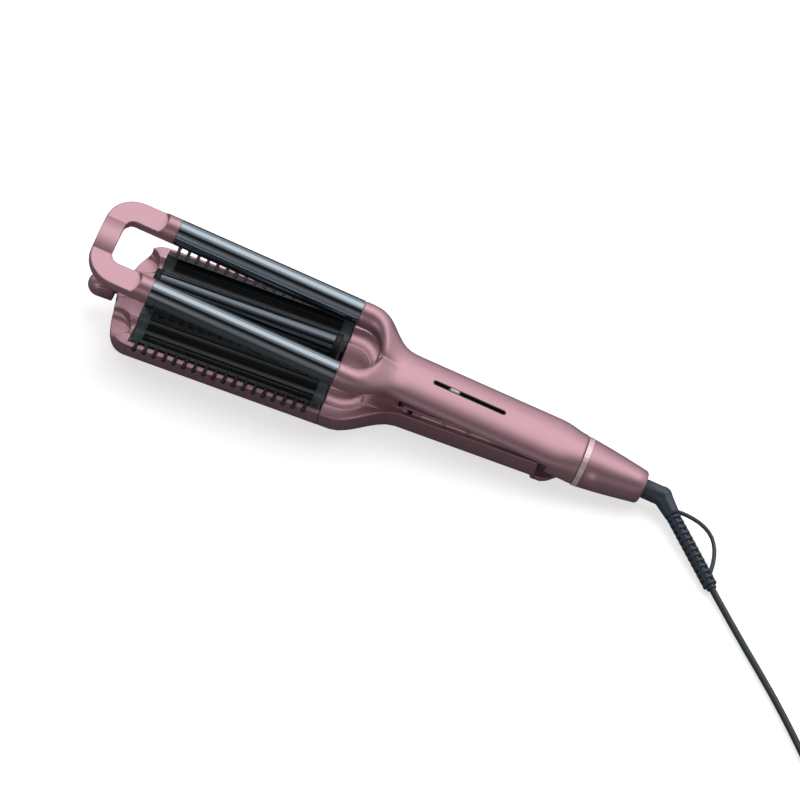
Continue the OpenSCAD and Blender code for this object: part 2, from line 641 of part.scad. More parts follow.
// The cord lies on the table: a lead to a round coil in four layers, then the plug.
lead_start = bend + sleeve_len * sleeve_dir();
lead_points = [lead_start, lead_start + 5 * sleeve_dir(),
               [hinge_x + 132, -73.5, 2.3], [hinge_x + 150, -92.2, 2.3], [hinge_x + 164, -107.3, 2.3],
               [hinge_x + 178, -123.6, 2.3], [hinge_x + 190, -138.5, 2.3], [hinge_x + 202, -152, 2.3],
               [hinge_x + 218, -160.8, 2.3], [hinge_x + 236, -161, 2.3]];
layer_turns = 2.5;
coil_layers = 4;
coil_gap = 0.55;
coil_out_r = 28;
coil_pitch = cord_d + coil_gap;
turn_steps = 24;
coil_centre = [hinge_x + 246, -161 - 28, 0];
// One pile: the spiral runs in and out at a steady rate and turns back in the middle of each
// half turn in which the cord climbs to the next layer.
layer_span = layer_turns + 0.5;
coil_max_r = coil_out_r + coil_pitch / 4;
function coil_radius(turn) =
    let (wave = abs(((turn + 0.25) / layer_span) % 2 - 1))
    coil_max_r - coil_pitch * layer_span * (1 - wave);
function coil_height(turn) =
    let (k = floor(turn / layer_span), f = turn - k * layer_span)
    cord_d / 2 + 0.3 + coil_pitch * (k + smooth((f - layer_turns) / 0.5));
coil_total = coil_layers * layer_span - 0.5;
coil_points = [for (i = [0:ceil(coil_total * turn_steps)])
               let (turn = min(i / turn_steps, coil_total - 0.001), a = 90 - turn * 360, r = coil_radius(turn))
               coil_centre + [r * cos(a), r * sin(a), coil_height(turn)]];
coil_last = coil_points[len(coil_points) - 1];
end_dir = unit(coil_last - coil_points[len(coil_points) - 2]);
plug_start = [coil_last[0] + end_dir[0] * 42, coil_last[1] + end_dir[1] * 42, 7];
end_points = [coil_last, coil_last + end_dir * 6, (coil_last + end_dir * 14) * 0.6 + plug_start * 0.4 + [0, 0, 2],
              plug_start - [end_dir[0], end_dir[1], 0] * 10, plug_start - [end_dir[0], end_dir[1], 0] * 5,
              plug_start];
lead_curve = curve_pass(curve_pass(lead_points));
coil_dir = tangent(coil_points, 0);
module cord_lead() color(slate)
    tube(concat(lead_curve, [coil_points[0]]), cord_d / 2,
         8, concat([for (i = [0:len(lead_curve) - 1]) tangent(concat(lead_curve, [coil_points[0]]), i)],
                   [coil_dir]));
module cord_coil() color(slate)
    tube(coil_points, cord_d / 2, 6,
         [for (i = [0:len(coil_points) - 1]) tangent(coil_points, i)]);
module cord_end() color(slate) tube(curve_pass(end_points), cord_d / 2, 8);
// Least clear distance of the coil to itself, leaving out the turns' own neighbours
coil_clear = min([for (i = [0:len(coil_points) - 1], j = [i + 12:1:len(coil_points) - 1])
                  norm(coil_points[i] - coil_points[j])]) - cord_d;
echo(coil_gap_to_itself = coil_clear);
function path_length(p) = len(p) < 2 ? 0 : [for (i = 1, s = norm(p[1] - p[0]); i < len(p);
    i = i + 1, s = s + (i < len(p) ? norm(p[i] - p[i - 1]) : 0)) s][len(p) - 2];
echo(cord_length = path_length(concat(lead_curve, coil_points, curve_pass(end_points))));

plug_angle = atan2(end_dir[1], end_dir[0]);
module at_plug() translate(plug_start) rotate([0, 0, plug_angle]) children();
plug_len = 35;
plug_w = 26;
plug_t = 13;
module plug_body() color(black) at_plug() difference() {
    union() {
        hull() {
            translate([0.05, 0, 0]) rotate([0, 90, 0]) cylinder(h = 1, r = 3.4, $fn = 24);
            translate([14, 0, 0]) rotate([0, 90, 0]) cylinder(h = 1, r = 5, $fn = 24);
        }
        hull() for (y = [-1, 1], x = [14, plug_len - 1])
            translate([x, y * (plug_w / 2 - plug_t / 2) * (x < 20 ? 0.55 : 1), 0]) rotate([0, 90, 0])
                cylinder(h = 1, r = plug_t / 2 * (x < 20 ? 0.85 : 1), $fn = 32);
    }
    for (s = [-1, 1]) translate([0, s * pin_pitch / 2, 0])
        rod(plug_len - 6, plug_len + 1, plug_pin_r);
}
pin_pitch = 18.6;
plug_pin_r = 2;
module plug_pins() color(metal) at_plug() for (s = [-1, 1])
    translate([0, s * pin_pitch / 2, 0]) {
        rod(plug_len - 5.9, plug_len + 17, plug_pin_r - seat_gap, 32);
        translate([plug_len + 17, 0, 0]) sphere(r = plug_pin_r - seat_gap, $fn = 24);
    }

handle_shell();
tail_housing();
tail_ring();
tail_cone();
clamp_barrel(-1);  // barrel_near
clamp_barrel(1);  // barrel_far
root_collar(-1);  // root_collar_near
root_collar(1);  // root_collar_far
clamp_heater(-1);  // heater_near
clamp_heater(1);  // heater_far
tip_bridge();
slot_bezel();
circuit_board();
slider_button();
hinge_pin();
hinge_spring();
swivel_elbow();
cord_sleeve();
hanging_loop();
cord_lead();
cord_coil();
cord_end();
plug_body();
plug_pins();
jaw_shell();
lever_shell();
lower_tip();
jaw_liner();
trough_plate(-1);  // plate_near
trough_plate(1);  // plate_far
comb(-1);  // comb_near
comb(1);  // comb_far
lever_vents();
lock_button();
shell_screws();
dial_knob();
dial_shaft();
middle_barrel();
middle_heater();
carrier(middle_x0 - carrier_t, 1);  // carrier_front
carrier(middle_x1, -1);  // carrier_rear
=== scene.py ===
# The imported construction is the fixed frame: every piece below is fitted to it, in metres.
import json
import math

import bmesh
import bpy
from mathutils import Matrix, Vector


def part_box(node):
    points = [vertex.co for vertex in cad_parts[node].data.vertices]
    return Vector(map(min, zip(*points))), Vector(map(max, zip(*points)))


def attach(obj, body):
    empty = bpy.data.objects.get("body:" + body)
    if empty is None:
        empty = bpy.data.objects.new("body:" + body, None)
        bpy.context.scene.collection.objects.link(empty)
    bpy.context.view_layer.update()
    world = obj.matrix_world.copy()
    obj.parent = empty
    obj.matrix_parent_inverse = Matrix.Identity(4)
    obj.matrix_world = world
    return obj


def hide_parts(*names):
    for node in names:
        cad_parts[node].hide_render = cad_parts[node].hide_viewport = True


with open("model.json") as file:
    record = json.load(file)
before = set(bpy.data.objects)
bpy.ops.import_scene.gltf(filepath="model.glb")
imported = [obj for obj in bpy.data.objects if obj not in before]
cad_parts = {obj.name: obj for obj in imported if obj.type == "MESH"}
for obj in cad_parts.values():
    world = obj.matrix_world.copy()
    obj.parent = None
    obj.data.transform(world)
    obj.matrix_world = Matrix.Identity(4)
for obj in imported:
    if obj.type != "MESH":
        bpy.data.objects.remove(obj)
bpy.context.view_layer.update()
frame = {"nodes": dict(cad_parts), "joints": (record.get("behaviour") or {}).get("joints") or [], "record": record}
scene = bpy.context.scene
mm = 0.001


# Camera: a long lens from the near side, high up, rolled so that the tool runs down to the right.
# Its place was fitted to the ends of the barrels, the pale ring, the slot, the elbow and the knob.
camera_azimuth = math.radians(-4.86)
camera_elevation = math.radians(54.6)
camera_roll = math.radians(15.88)
camera_distance = 2.2
camera_target = Vector((0.0219, 0.0075, 0.0))
focal_px = 3632
picture_px = 800

forward = Vector((math.sin(camera_azimuth) * math.cos(camera_elevation),
                  math.cos(camera_azimuth) * math.cos(camera_elevation),
                  -math.sin(camera_elevation)))
level_right = forward.cross(Vector((0, 0, 1))).normalized()
level_up = level_right.cross(forward)
right = level_right * math.cos(camera_roll) + level_up * math.sin(camera_roll)
up = level_up * math.cos(camera_roll) - level_right * math.sin(camera_roll)
camera_data = bpy.data.cameras.new("camera")
camera_data.sensor_width = 36
camera_data.lens = focal_px / picture_px * camera_data.sensor_width
camera = bpy.data.objects.new("camera", camera_data)
camera_axes = Matrix((right, up, -forward)).transposed().to_4x4()
camera.matrix_world = Matrix.Translation(camera_target - forward * camera_distance) @ camera_axes
scene.collection.objects.link(camera)
scene.camera = camera
scene.view_settings.view_transform = "Standard"


# Studio: a white floor that keeps the tool's soft shadow, a broad window of light from the far
# side to overhead, a dark gap where the photographer stands, and a low pale panel in front.
# A Signal wraps a shader's socket, so that masks are written as plain expressions. A Finish is
# one material: node() adds any node from its settings and the values of its sockets.
class Signal:
    def __init__(self, finish, socket):
        self.finish = finish
        self.socket = socket

    def maths(self, operation, first, second):
        return self.finish.node("ShaderNodeMath", {"operation": operation}, {0: first, 1: second})

    def __add__(self, other):
        return self.maths("ADD", self, other)

    def __sub__(self, other):
        return self.maths("SUBTRACT", self, other)

    def __rsub__(self, other):
        return self.maths("SUBTRACT", other, self)

    def __mul__(self, other):
        return self.maths("MULTIPLY", self, other)

    def __gt__(self, other):
        return self.maths("GREATER_THAN", self, other)

    def __lt__(self, other):
        return self.maths("LESS_THAN", self, other)

    __radd__ = __add__
    __rmul__ = __mul__


class Finish:
    def __init__(self, name, tree=None):
        if tree is None:
            self.material = bpy.data.materials.new(name)
            self.material.use_nodes = True
            tree = self.material.node_tree
        self.tree = tree
        self.tree.nodes.clear()

    def node(self, kind, settings=None, inputs=None, output=0):
        made = self.tree.nodes.new(kind)
        for key, value in (settings or {}).items():
            if key == "stops":
                while len(made.color_ramp.elements) < len(value):
                    made.color_ramp.elements.new(1.0)
                for element, (position, colour) in zip(made.color_ramp.elements, value):
                    element.position = position
                    element.color = colour
            else:
                setattr(made, key, value)
        for key, value in (inputs or {}).items():
            if isinstance(value, Signal):
                self.tree.links.new(value.socket, made.inputs[key])
            else:
                made.inputs[key].default_value = value
        return Signal(self, made.outputs[output]) if made.outputs else None

    def place(self, kind="Object"):
        return self.node("ShaderNodeTexCoord", output=kind)

    def along(self, axis, kind="Object"):
        return self.node("ShaderNodeSeparateXYZ", inputs={0: self.place(kind)}, output=axis)

    def noise(self, scale, detail=2.0):
        return self.node("ShaderNodeTexNoise", inputs={"Vector": self.place(), "Scale": scale,
                                                       "Detail": detail})

    def tint(self, mask, first, second):
        return self.node("ShaderNodeMix", {"data_type": "RGBA"}, {0: mask, 6: first, 7: second},
                         output=2)

    def bump(self, height, strength, distance):
        return self.node("ShaderNodeBump", inputs={"Height": height, "Strength": strength,
                                                   "Distance": distance})

    def surface(self, **inputs):
        named = {key.replace("_", " "): value for key, value in inputs.items()}
        shader = self.node("ShaderNodeBsdfPrincipled", inputs=named)
        self.node("ShaderNodeOutputMaterial", inputs={"Surface": shader})
        return self.material


def grey(level):
    return (level, level, level, 1)


floor_size = 6
floor_grey, floor_glow, mirrored_floor_grey = 0.86, 0.60, 0.15
bpy.ops.mesh.primitive_plane_add(size=floor_size)
floor = bpy.context.object
floor.name = "floor"
white_floor = Finish("white_floor")
in_view = white_floor.node("ShaderNodeLightPath", output="Is Camera Ray")
lit = white_floor.node("ShaderNodeBsdfDiffuse", inputs={"Color": grey(floor_grey)})
glow = white_floor.node("ShaderNodeEmission", inputs={"Color": grey(1),
                                                      "Strength": in_view * floor_glow})
lit_and_glow = white_floor.node("ShaderNodeAddShader", inputs={0: lit, 1: glow})
in_mirror = white_floor.node("ShaderNodeLightPath", output="Is Glossy Ray")
dim = white_floor.node("ShaderNodeBsdfDiffuse", inputs={"Color": grey(mirrored_floor_grey)})
ground = white_floor.node("ShaderNodeMixShader", inputs={0: in_mirror, 1: lit_and_glow, 2: dim})
white_floor.node("ShaderNodeOutputMaterial", inputs={"Surface": ground})
floor.data.materials.append(white_floor.material)

# The room's brightness goes by the angle about the tool's long axis, in shares of a full turn:
# 0.25 is the far horizon, 0.5 is overhead and 0.75 the near horizon.
room_levels = ((0.245, 0.10), (0.27, 1.0), (0.48, 0.82), (0.535, 0.02),
               (0.59, 0.02), (0.64, 0.46), (0.70, 0.34), (0.735, 0.05))
room_strength = 0.95
scene.world = bpy.data.worlds.new("studio")
scene.world.use_nodes = True
studio = Finish("studio", scene.world.node_tree)
toward_back, overhead = studio.along("Y", "Generated"), studio.along("Z", "Generated")
lean = studio.node("ShaderNodeMath", {"operation": "ARCTAN2"},
                   {0: 0.0 - toward_back, 1: overhead})
round_share = lean * (0.5 / math.pi) + 0.5
room = studio.node("ShaderNodeValToRGB",
                   {"stops": [(stop, grey(level)) for stop, level in room_levels]},
                   {"Fac": round_share})
in_view = studio.node("ShaderNodeLightPath", output="Is Camera Ray")
backdrop = studio.tint(in_view, room, grey(1))
sky = studio.node("ShaderNodeBackground", inputs={"Color": backdrop, "Strength": room_strength})
studio.node("ShaderNodeOutputWorld", inputs={"Surface": sky})


def softbox(name, place, size, power, shine=1.0):
    data = bpy.data.lights.new(name, "AREA")
    data.shape = "RECTANGLE"
    data.size, data.size_y = size
    data.energy = power
    data.specular_factor = shine
    lamp = bpy.data.objects.new(name, data)
    place = Vector(place)
    lamp.matrix_world = (Matrix.Translation(place)
                         @ (-place).to_track_quat("-Z", "Y").to_matrix().to_4x4())
    scene.collection.objects.link(lamp)


softbox("key_light", (0.3, 0.9, 1.5), (1.8, 1.2), 9)
softbox("front_light", (-0.5, -1.2, 0.7), (0.8, 0.4), 1.6, shine=0.0)


# Mains cord: a round slate jacket, 4 mm thick and about 1.8 m long. It leaves the ribbed sleeve,
# runs off to the lower right, and is put away in a coil of four layers beside its plug. The
# upper jaw and the tail are tilted about the hinge, which sets where the cord begins.
joints = {joint["name"]: joint for joint in frame["joints"]}
hinge = Vector(joints["jaw_hinge"]["pos_m"])
hinge_x = hinge.x / mm
open_angle = math.radians(joints["jaw_hinge"]["range_deg"][1])
upper = Matrix.Translation(hinge) @ Matrix.Rotation(open_angle, 4, "Y")

cord_d = 4.0
tail_len, tail_z = 48.6, 2.4
bend_out = 13
nose_len = 14
sleeve_len = 66
sleeve_turn = math.radians(-46)
sleeve_drop = math.radians(4.6)
lead_z = 2.3
lead_places = ((132, -73.5), (150, -92.2), (164, -107.3), (178, -123.6), (190, -138.5),
               (202, -152), (218, -160.8), (236, -161))
layer_turns, climb_turns = 2.5, 0.5
coil_layers = 4
coil_x, coil_y, coil_out_r = 246, -161, 28
coil_pitch = cord_d + 0.55
coil_rise = 0.3
coil_steps = 36
plug_out, plug_z = 42, 7

bend = upper @ Vector(((tail_len + bend_out) * mm, 0, tail_z * mm)) / mm
sleeve_dir = Vector((math.cos(sleeve_turn) * math.cos(sleeve_drop),
                     math.sin(sleeve_turn) * math.cos(sleeve_drop), -math.sin(sleeve_drop)))
cord_exit = bend + nose_len * sleeve_dir
lead_start = bend + sleeve_len * sleeve_dir
lead_points = [lead_start, lead_start + 5 * sleeve_dir] + [
    Vector((hinge_x + x, y, lead_z)) for x, y in lead_places]
coil_centre = Vector((hinge_x + coil_x, coil_y - coil_out_r, 0))
layer_span = layer_turns + climb_turns
coil_total = coil_layers * layer_span - climb_turns
coil_end = coil_total - 0.001


def corners_cut(points):
    cut = [points[0]]
    for a, b in zip(points, points[1:]):
        cut += [a * 0.75 + b * 0.25, a * 0.25 + b * 0.75]
    return cut + [points[-1]]


def ease(t):
    t = max(0, min(1, t))
    return t * t * (3 - 2 * t)


def coil_point(turns):
    wave = abs(((turns + climb_turns / 2) / layer_span) % 2 - 1)
    radius = coil_out_r + coil_pitch / 4 - coil_pitch * layer_span * (1 - wave)
    layer, along = divmod(turns, layer_span)
    climb = ease((along - layer_turns) / climb_turns)
    level = cord_d / 2 + coil_rise + coil_pitch * (layer + climb)
    angle = math.radians(90 - turns * 360)
    return coil_centre + Vector((radius * math.cos(angle), radius * math.sin(angle), level))


# The coil's last stretch points as the construction's does, which is drawn in coarser steps.
cad_coil_steps = 24
coil_points = [coil_point(min(i / coil_steps, coil_end))
               for i in range(math.ceil(coil_total * coil_steps) + 1)]
coil_last = coil_point(coil_end)
coil_before = coil_point((math.ceil(coil_total * cad_coil_steps) - 1) / cad_coil_steps)
end_dir = (coil_last - coil_before).normalized()
flat_dir = Vector((end_dir.x, end_dir.y, 0))
plug_start = Vector((coil_last.x + end_dir.x * plug_out, coil_last.y + end_dir.y * plug_out,
                     plug_z))
end_points = [coil_last, coil_last + end_dir * 6,
              (coil_last + end_dir * 14) * 0.6 + plug_start * 0.4 + Vector((0, 0, 2)),
              plug_start - flat_dir * 10, plug_start - flat_dir * 5, plug_start]
route = ([cord_exit] + corners_cut(corners_cut(lead_points)) + coil_points
         + corners_cut(end_points)[1:])
shortest_step = 0.05
route = [a for a, b in zip(route, route[1:]) if (b - a).length > shortest_step] + [route[-1]]
cord_length = sum((b - a).length for a, b in zip(route, route[1:])) * mm

cord_curve = bpy.data.curves.new("mains_cord", "CURVE")
cord_curve.dimensions = "3D"
cord_curve.bevel_depth = cord_d / 2 * mm
cord_curve.bevel_resolution = 5
cord_curve.use_fill_caps = True
line = cord_curve.splines.new("POLY")
line.points.add(len(route) - 1)
for point, place in zip(line.points, route):
    point.co = (*(place * mm), 1)
line.use_smooth = True

jacket = Finish("cord_jacket")
mottle = jacket.noise(240, 3)
cord_jacket = jacket.surface(
    Base_Color=jacket.tint(mottle, (0.022, 0.031, 0.037, 1), (0.040, 0.052, 0.060, 1)),
    Roughness=mottle * 0.14 + 0.40,
    Normal=jacket.bump(jacket.noise(1500), 0.25, 0.0001))


def new_piece(name, mesh, body, material, stands_for):
    piece = bpy.data.objects.new(name, mesh)
    scene.collection.objects.link(piece)
    piece.data.materials.clear()
    piece.data.materials.append(material)
    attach(piece, body)
    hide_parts(*stands_for)
    return piece


cord = new_piece("mains_cord", cord_curve, "swivel", cord_jacket,
                 ("cord_lead", "cord_coil", "cord_end"))


# Handle: moulded plastic in rose lacquer. The fork's two arms flow into one domed shell that runs
# back to the pale ring. Its solids are worked in millimetres, joined, remeshed evenly and relaxed,
# so that walls flow into each other and edges keep the small radius that a mould leaves.
def solid(mesh):
    made = bpy.data.objects.new("solid", mesh)
    scene.collection.objects.link(made)
    return made


def thrown_away(made):
    old = made.data
    bpy.data.objects.remove(made)
    bpy.data.meshes.remove(old)


def taken(made):
    mesh = bpy.data.meshes.new_from_object(made.evaluated_get(
        bpy.context.evaluated_depsgraph_get()))
    thrown_away(made)
    return mesh


def mesh_from(work):
    mesh = bpy.data.meshes.new("solid")
    work.to_mesh(mesh)
    work.free()
    return mesh


def rings(rows):
    work = bmesh.new()
    rows = [[work.verts.new(point) for point in row] for row in rows]
    for a, b in zip(rows, rows[1:]):
        for j in range(len(a)):
            work.faces.new((a[j - 1], b[j - 1], b[j], a[j]))
    work.faces.new(rows[0])
    work.faces.new(reversed(rows[-1]))
    bmesh.ops.recalc_face_normals(work, faces=work.faces)
    return solid(mesh_from(work))


def prism(outline, low, high):
    return rings([[Vector((x, y, z)) for x, y in outline] for z in (low, high)])


def block(x0, x1, y0, y1, z0, z1):
    return prism([(x0, y0), (x1, y0), (x1, y1), (x0, y1)], z0, z1)


def round_turn(count):
    return [2 * math.pi * i / count for i in range(count)]


def rod(x0, x1, y, z, radius, count=96):
    return rings([[Vector((x, y + radius * math.cos(a), z + radius * math.sin(a)))
                   for a in round_turn(count)] for x in (x0, x1)])


def arc(x, y, radius, start, end, count=20):
    return [(x + radius * math.cos(math.radians(start + (end - start) * i / count)),
             y + radius * math.sin(math.radians(start + (end - start) * i / count)))
            for i in range(count + 1)]


def pill(x0, x1, y, radius):
    return arc(x1 - radius, y, radius, -90, 90, 24) + arc(x0 + radius, y, radius, 90, 270, 24)


def booled(target, others, operation):
    for other in others:
        step = target.modifiers.new("step", "BOOLEAN")
        step.operation = operation
        step.object = other
        step.solver = "EXACT"
    made = solid(taken(target))
    for other in others:
        thrown_away(other)
    return made


def joined(solids):
    work = bmesh.new()
    for each in solids:
        work.from_mesh(each.data)
        thrown_away(each)
    return solid(mesh_from(work))


def relaxed(made, voxel, passes):
    even = made.modifiers.new("even", "REMESH")
    even.mode = "VOXEL"
    even.voxel_size = voxel
    relax = made.modifiers.new("relax", "SMOOTH")
    relax.factor = 0.5
    relax.iterations = passes
    return solid(taken(made))


# A node's own mesh is loose triangles, which are merged in a copy.
def merged_copy(node):
    mesh = frame["nodes"][node].data.copy()
    work = bmesh.new()
    work.from_mesh(mesh)
    bmesh.ops.remove_doubles(work, verts=work.verts, dist=0.002 * mm)
    work.to_mesh(mesh)
    work.free()
    mesh.validate()
    return mesh


upper_mm = upper @ Matrix.Scale(mm, 4)
body_of = {node: body for body, nodes in frame["record"]["behaviour"]["bodies"].items()
           for node in nodes}


def built(node, frame_mm):
    mesh = merged_copy(node)
    mesh.transform(frame_mm.inverted())
    return solid(mesh)


def moulded(name, made, frame_mm, material, nodes, smooth_angle=180):
    mesh = taken(made)
    mesh.transform(frame_mm)
    mesh.shade_smooth()
    if smooth_angle < 180:
        mesh.set_sharp_from_angle(angle=math.radians(smooth_angle))
    return new_piece(name, mesh, body_of[nodes[0]], material, nodes)


rose = Finish("rose_metallic")
cloud = rose.noise(35, 2)
flake = rose.noise(5200, 1)
rose_paint = rose.surface(
    Base_Color=rose.tint(cloud, (0.46, 0.262, 0.310, 1), (0.50, 0.288, 0.338, 1)),
    Metallic=0.72, Roughness=flake * 0.10 + 0.36, Coat_Weight=0.08, Coat_Roughness=0.35,
    Normal=rose.bump(flake, 0.06, 0.00005))

reach = 148.5
barrel_r, barrel_y, barrel_rise, barrel_len = 8, 24, 15.5, 119
collar_len = 7.5
handle_hw, handle_h = 18, 8.3
handle_top = barrel_rise - 0.5
seam_z = handle_top - handle_h
grip_x = -reach + 44.5
housing_x, housing_flow_len = -12, 16
squareness = 2.2
flow_len = 26
slot_x0, slot_x1 = -92, -46
slot_hw, slot_gap = 1.1, 0.7
groove_hw, groove_depth = 0.18, 0.3


def onto_dome(vertex, share):
    y, z = vertex.co.y, vertex.co.z - seam_z
    reach_out = (abs(y / handle_hw) ** squareness
                 + (z / handle_h) ** squareness) ** (1 / squareness)
    scale = 1 + share * (1 / reach_out - 1)
    vertex.co.y, vertex.co.z = y * scale, seam_z + z * scale


shell = built("handle_shell", upper_mm)
for vertex in shell.data.vertices:
    if seam_z < vertex.co.z and vertex.co.x < grip_x + 0.1:
        before = vertex.co.copy()
        onto_dome(vertex, ease((vertex.co.x - grip_x + flow_len) / flow_len))
        if vertex.co.length > before.length:
            vertex.co = before
housing = built("tail_housing", upper_mm)
for vertex in housing.data.vertices:
    if vertex.co.z > seam_z + 0.01:
        onto_dome(vertex, 1 - ease((vertex.co.x - housing_x) / housing_flow_len))

# The slot is filled while the shell is relaxed, and then cut with the collars' grooves.
filled = block(slot_x0 - 2, slot_x1 + 2, -3, 3, handle_top - 2, handle_top - 0.02)
root_collars = [built(node, upper_mm) for node in ("root_collar_near", "root_collar_far")]
shell = relaxed(joined([shell, housing, filled] + root_collars), voxel=0.55, passes=26)
slot_cut = prism(pill(slot_x0 - slot_gap, slot_x1 + slot_gap, 0, slot_hw + slot_gap),
                 handle_top - 4, handle_top + 2)
groove_x = -reach + collar_len
grooves = [booled(rod(groove_x - groove_hw, groove_x + groove_hw, side * barrel_y, barrel_rise,
                      barrel_r + 1),
                  [rod(groove_x - 1, groove_x + 1, side * barrel_y, barrel_rise,
                       barrel_r - groove_depth)], "DIFFERENCE") for side in (-1, 1)]
shell = booled(shell, [slot_cut] + grooves, "DIFFERENCE")
moulded("handle_skin", shell, upper_mm, rose_paint,
        ("handle_shell", "tail_housing", "root_collar_near", "root_collar_far"), 40)


# Tip bridge: moulded in the same plastic and lacquered. It is a U-shaped plate with an arched bar
# across its end, whose flat pads are cut back to the round collars by a ball-nosed scoop. The
# collars' spigots hold the barrels' ends.
bridge_root = -reach - barrel_len - collar_len
bridge_end = bridge_root - 35
outer_r, outer_hw = 19, barrel_y + barrel_r
window_r, window_hw = 6, barrel_y - barrel_r
pad_top, pad_edge, pad_low = 2.6, 0.3, -6.4
scoop_r, scoop_fillet = 14.6, 6.2
bar_w, bar_hw, bar_low = 12.5, 12.4, -3.4
arch_hw, arch_r, arch_top = 15, 29, 5.4
under_r, under_top = 22, -1.6
spigot_r = barrel_r - 1.4


def scoop(x, y, floor_z, radius, fillet, steps=10):
    rows = []
    for i in range(steps + 1):
        a = math.pi / 2 * i / steps
        level = pill(x - 60, x, y, radius - fillet * (1 - math.sin(a)))
        rows.append([Vector((*point, floor_z + fillet * (1 - math.cos(a)))) for point in level])
    rows.append([Vector((point.x, point.y, floor_z + 20)) for point in rows[-1]])
    return rings(rows)


def bridge_outline(inset):
    outer, inner = outer_hw - inset, window_hw + inset
    end_x, window_x = bridge_end + outer_r, bridge_end + bar_w + window_r
    return (arc(end_x, outer_hw - outer_r, outer_r - inset, 90, 180)
            + arc(end_x, outer_r - outer_hw, outer_r - inset, 180, 270)
            + [(bridge_root, -outer), (bridge_root, -inner)]
            + arc(window_x, window_r - window_hw, window_r + inset, 270, 180)
            + arc(window_x, window_hw - window_r, window_r + inset, 180, 90)
            + [(bridge_root, inner), (bridge_root, outer)])


def collar_rods(x0, x1, radius):
    return [rod(bridge_root + x0, bridge_root + x1, side * barrel_y, 0, radius)
            for side in (-1, 1)]


def crown(y, radius, top):
    return top - radius + math.sqrt(radius ** 2 - y ** 2)


plate_levels = (pad_low, -5.8, -4.8, -3.4, -1.8, 0, 2.2, pad_top)
plate = rings([[Vector((x, y, z)) for x, y in bridge_outline(
    barrel_r - math.sqrt(barrel_r ** 2 - z ** 2) + (pad_edge if z == pad_top else 0))]
    for z in plate_levels])
plate = booled(plate, [block(bridge_end - 1, bridge_end + bar_w + 3, -bar_hw, bar_hw, -9, 9)],
               "DIFFERENCE")
across_bar = [arch_hw * (i / 20 - 1) for i in range(41)]
bar_profile = ([(y, crown(y, arch_r, arch_top)) for y in across_bar]
               + [(-y, max(bar_low, crown(y, under_r, under_top))) for y in across_bar])
arch = rings([[Vector((x, y, z)) for y, z in bar_profile]
              for x in (bridge_end - 1, bridge_end + bar_w + 6)])
bar = booled(arch, [prism(bridge_outline(0), -12, 12)], "INTERSECT")
pads = booled(plate, collar_rods(-14, collar_len, barrel_r), "UNION")
pads = booled(pads, [scoop(bridge_root - 0.2, side * barrel_y, pad_top, scoop_r, scoop_fillet)
                     for side in (-1, 1)], "DIFFERENCE")
spigots = collar_rods(collar_len - 0.2, collar_len + 4.5, spigot_r)
bridge = relaxed(joined([pads, bar] + spigots), voxel=0.3, passes=4)
moulded("tip_bridge_skin", bridge, upper_mm @ Matrix.Translation((0, 0, barrel_rise)), rose_paint,
        ("tip_bridge",))


# Lower jaw's tip: a blunt moulded nose, lacquered as the rest. The knob's hub stands between two
# scooped hollows, and round seats behind them take the bridge's collars when the jaws close.
jaw_front = -reach - barrel_len - 2
jaw_tip_len = 17
jaw_hw, jaw_top, bottom_r, wall_lean = 39, 23.5, 13, 2.5
nose_power, nose_least, nose_lift, nose_drop = 2.6, 0.32, 7, 2.6
nose_steps = 24
hub_z, hub_r, shaft_hole_r = 18.5, 7.5, 2.6
hollow_r, hollow_fillet, hollow_z = 10.2, 6.5, 16.5
seat_r, seat_z = barrel_r + 1, 29.5
lower_mm = Matrix.Translation((hinge_x * mm, 0, 0)) @ Matrix.Scale(mm, 4)


def tub(x, half, z0, z1, radius, lean, count=10):
    turns = [math.pi / 2 * i / count for i in range(count + 1)]
    left = [(-(half - lean - radius + radius * math.cos(a)), z0 + radius - radius * math.sin(a))
            for a in turns]
    right_half = [(-y, z) for y, z in reversed(left)]
    return [Vector((x, y, z)) for y, z in [(half, z1), (-half, z1)] + left + right_half]


nose_rows = []
for i in range(nose_steps + 1):
    t = math.sin(math.pi / 2 * i / nose_steps)
    k = (1 - t ** nose_power) ** (1 / nose_power)
    full = max(k, nose_least)
    nose_rows.append(tub(jaw_front - t * jaw_tip_len, jaw_hw * full, nose_lift * (1 - k),
                         jaw_top - nose_drop * (1 - k), bottom_r * full, wall_lean * k))
hub = rod(jaw_front - jaw_tip_len - 1, jaw_front, 0, hub_z, hub_r)
hollows = [scoop(jaw_front - 2.4, side * (barrel_y + 1), hollow_z, hollow_r, hollow_fillet)
           for side in (-1, 1)]
seats = [rod(jaw_front - 30, jaw_front + 1, side * barrel_y, seat_z, seat_r) for side in (-1, 1)]
shaft_hole = rod(jaw_front - 30, jaw_front + 3, 0, hub_z, shaft_hole_r, 48)
nose = booled(rings(nose_rows), [hub], "UNION")
nose = relaxed(booled(nose, hollows + seats, "DIFFERENCE"), voxel=0.35, passes=5)
nose = booled(nose, [shaft_hole], "DIFFERENCE")
moulded("lower_tip_skin", nose, lower_mm, rose_paint, ("lower_tip",), 40)


# Lever, tail cone, jaw shell and knob: plastic mouldings in the handle's lacquer. Screws from
# below hold the lever to the jaw shell. The lever is relaxed as the handle is, and the others
# keep the construction's own shape, with round walls shaded smoothly and edges left crisp.
crease = math.radians(32)


def dressed(node, material):
    mesh = merged_copy(node)
    mesh.shade_smooth()
    mesh.set_sharp_from_angle(angle=crease)
    return new_piece(node + "_skin", mesh, body_of[node], material, (node,))


lever = relaxed(built("lever_shell", lower_mm), voxel=0.55, passes=8)
moulded("lever_shell_skin", lever, lower_mm, rose_paint, ("lever_shell",))
for name in ("tail_cone", "jaw_shell", "dial_knob"):
    dressed(name, rose_paint)


